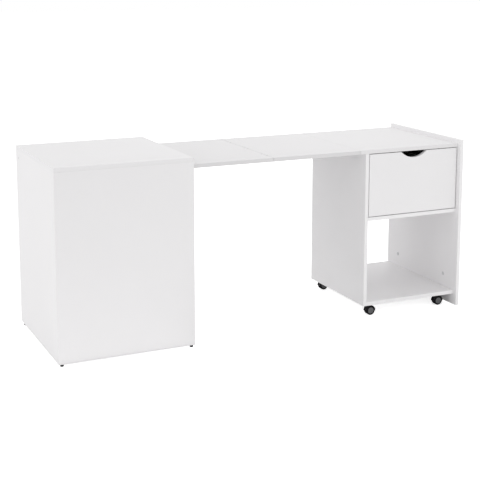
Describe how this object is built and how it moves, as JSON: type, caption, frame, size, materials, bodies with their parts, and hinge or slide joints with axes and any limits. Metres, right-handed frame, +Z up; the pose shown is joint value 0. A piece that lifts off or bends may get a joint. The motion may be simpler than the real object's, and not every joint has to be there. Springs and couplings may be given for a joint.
{
  "type": "folding desk",
  "caption": "Folding desk: an open cabinet, a bi-fold top on guide rollers, and a rolling pedestal with a drawer and a shelf that nests inside the cabinet.",
  "frame": {"origin": "on the floor under the middle of the unfolded desk's overall box", "axes": "+X from the cabinet to the rolling pedestal, +Y to the back, away from the drawer front, +Z up"},
  "size_m": [1.81, 0.588, 0.76],
  "materials": {
    "white_board": "satin white melamine facing",
    "thin_panel": "satin white facing",
    "dowel_wood": "plain beech",
    "white_hinge": "white enamel",
    "steel": "zinc plated",
    "rail_metal": "satin",
    "black_plastic": "matte",
    "wheel_plastic": "satin",
    "roller_nylon": "matte",
    "cap_plastic": "satin"
  },
  "bodies": {
    "cabinet": {"cabinet_top": "white_board", "cabinet_left_side": "white_board", "cabinet_front": "white_board", "cabinet_back": "white_board", "cabinet_dowels": "dowel_wood", "cabinet_glides": "black_plastic", "corner_blocks": "dowel_wood", "side_screw": "steel", "guide_rail_front": "rail_metal", "guide_rail_back": "rail_metal", "guide_rail_screws": "steel"},
    "rolling_pedestal": {"end_board": "white_board", "pedestal_side": "white_board", "fixed_top": "white_board", "bottom_shelf": "white_board", "drawer_divider": "white_board", "pedestal_back_board": "white_board", "pedestal_dowels": "dowel_wood", "fixing_caps": "cap_plastic", "drawer_runners": "steel", "caster_plates": "steel", "caster_screws": "steel", "fold_hinge_fixed_halves": "steel", "fold_hinge_pins": "steel", "fold_hinge_screws": "steel"},
    "inner_leaf_set": {"inner_leaf": "white_board", "fold_hinge_moving_halves": "steel", "middle_hinge_inner_halves": "white_hinge", "middle_hinge_pins": "white_hinge", "inner_leaf_screws": "white_hinge", "bolt_housings": "steel"},
    "outer_leaf_set": {"outer_leaf": "white_board", "middle_hinge_outer_halves": "white_hinge", "outer_leaf_screws": "white_hinge", "bolt_keepers": "steel", "roller_brackets": "steel"},
    "roller_front": {"guide_roller_front": "roller_nylon"},
    "roller_back": {"guide_roller_back": "roller_nylon"},
    "bolt_front": {"slide_bolt_front": "steel"},
    "bolt_back": {"slide_bolt_back": "steel"},
    "drawer": {"drawer_front": "white_board", "drawer_side_left": "thin_panel", "drawer_side_right": "thin_panel", "drawer_back": "thin_panel", "drawer_bottom": "thin_panel", "drawer_slides": "steel"},
    "caster_front_left": {"caster_hood_front_left": "black_plastic", "caster_axle_front_left": "steel"},
    "wheels_front_left": {"caster_wheels_front_left": "wheel_plastic"},
    "caster_front_right": {"caster_hood_front_right": "black_plastic", "caster_axle_front_right": "steel"},
    "wheels_front_right": {"caster_wheels_front_right": "wheel_plastic"},
    "caster_back_left": {"caster_hood_back_left": "black_plastic", "caster_axle_back_left": "steel"},
    "wheels_back_left": {"caster_wheels_back_left": "wheel_plastic"},
    "caster_back_right": {"caster_hood_back_right": "black_plastic", "caster_axle_back_right": "steel"},
    "wheels_back_right": {"caster_wheels_back_right": "wheel_plastic"}
  },
  "joints": [
    {"name": "pedestal_roll", "type": "slide", "parent": "cabinet", "child": "rolling_pedestal", "axis": [1, 0, 0], "range_m": [-1.238, 0]},
    {"name": "inner_leaf_fold", "type": "hinge", "parent": "rolling_pedestal", "child": "inner_leaf_set", "pos_m": [0.406, 0, 0.7108], "axis": [0, -1, 0], "range_deg": [0, 90]},
    {"name": "outer_leaf_fold", "type": "hinge", "parent": "inner_leaf_set", "child": "outer_leaf_set", "pos_m": [0.0025, 0, 0.7303], "axis": [0, 1, 0], "range_deg": [0, 180]},
    {"name": "drawer_slide", "type": "slide", "parent": "rolling_pedestal", "child": "drawer", "axis": [0, -1, 0], "range_m": [0, 0.33]},
    {"name": "roller_spin_front", "type": "hinge", "parent": "outer_leaf_set", "child": "roller_front", "pos_m": [-0.401, -0.2745, 0.7108], "axis": [0, 1, 0], "continuous": true},
    {"name": "bolt_slide_front", "type": "slide", "parent": "inner_leaf_set", "child": "bolt_front", "axis": [-1, 0, 0], "range_m": [0, 0.024]},
    {"name": "roller_spin_back", "type": "hinge", "parent": "outer_leaf_set", "child": "roller_back", "pos_m": [-0.401, 0.2745, 0.7108], "axis": [0, 1, 0], "continuous": true},
    {"name": "bolt_slide_back", "type": "slide", "parent": "inner_leaf_set", "child": "bolt_back", "axis": [-1, 0, 0], "range_m": [0, 0.024]},
    {"name": "caster_swivel_front_left", "type": "hinge", "parent": "rolling_pedestal", "child": "caster_front_left", "pos_m": [0.479, -0.222, 0.056], "axis": [0, 0, 1], "continuous": true},
    {"name": "wheel_spin_front_left", "type": "hinge", "parent": "caster_front_left", "child": "wheels_front_left", "pos_m": [0.491, -0.222, 0.02], "axis": [0, 1, 0], "continuous": true},
    {"name": "caster_swivel_front_right", "type": "hinge", "parent": "rolling_pedestal", "child": "caster_front_right", "pos_m": [0.827, -0.222, 0.056], "axis": [0, 0, 1], "continuous": true},
    {"name": "wheel_spin_front_right", "type": "hinge", "parent": "caster_front_right", "child": "wheels_front_right", "pos_m": [0.839, -0.222, 0.02], "axis": [0, 1, 0], "continuous": true},
    {"name": "caster_swivel_back_left", "type": "hinge", "parent": "rolling_pedestal", "child": "caster_back_left", "pos_m": [0.479, 0.195, 0.056], "axis": [0, 0, 1], "continuous": true},
    {"name": "wheel_spin_back_left", "type": "hinge", "parent": "caster_back_left", "child": "wheels_back_left", "pos_m": [0.491, 0.195, 0.02], "axis": [0, 1, 0], "continuous": true},
    {"name": "caster_swivel_back_right", "type": "hinge", "parent": "rolling_pedestal", "child": "caster_back_right", "pos_m": [0.827, 0.195, 0.056], "axis": [0, 0, 1], "continuous": true},
    {"name": "wheel_spin_back_right", "type": "hinge", "parent": "caster_back_right", "child": "wheels_back_right", "pos_m": [0.839, 0.195, 0.02], "axis": [0, 1, 0], "continuous": true}
  ],
  "couplings": [
    {"joint": "inner_leaf_fold", "follows": "pedestal_roll", "rad_per_m": -1.2688},
    {"joint": "outer_leaf_fold", "follows": "pedestal_roll", "rad_per_m": -2.5376}
  ]
}
